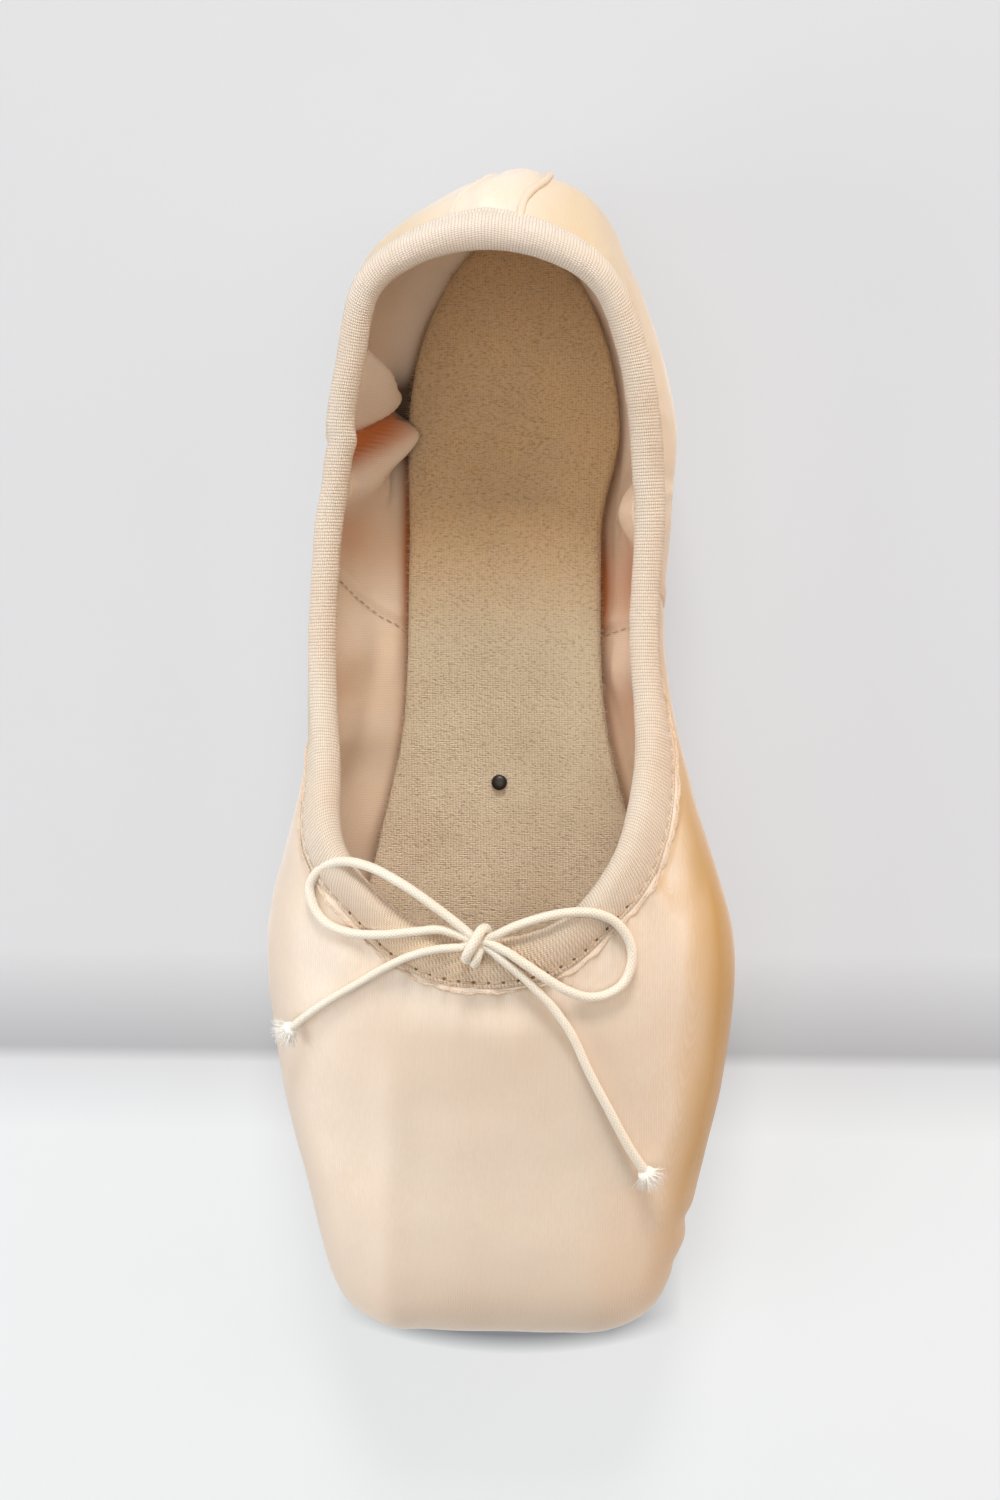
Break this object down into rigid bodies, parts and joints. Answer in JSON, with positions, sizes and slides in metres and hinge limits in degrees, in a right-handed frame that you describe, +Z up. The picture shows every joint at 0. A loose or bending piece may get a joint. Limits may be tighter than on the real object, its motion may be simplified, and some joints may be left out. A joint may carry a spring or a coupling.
{
  "type": "pointe shoe",
  "caption": "Satin pointe shoe with a blocked flat-ended toe box, bound topline and drawstring tied in a bow, standing empty on its sole.",
  "frame": {"origin": "on the floor, under the middle of the shoe's length and width", "axes": "+Y towards the heel, -Y towards the toe, +Z up, +X across the shoe"},
  "size_m": [0.0926, 0.2312, 0.0559],
  "materials": {
    "satin": "peach-beige satin with a soft sheen over canvas, cotton-lined inside",
    "tape": "matt woven cotton tape",
    "outsole_leather": "matt suede leather",
    "insole_cloth": "napped woven cloth",
    "nail": "dark steel",
    "cord": "off-white braided elastic"
  },
  "bodies": {
    "root": {"upper": "satin", "binding": "tape", "outsole": "outsole_leather", "insole": "insole_cloth", "insole_tack": "nail", "drawstring_knot": "cord", "drawstring_left_loop": "cord", "drawstring_right_loop": "cord", "drawstring_left_tail": "cord", "drawstring_right_tail": "cord"}
  },
  "joints": []
}
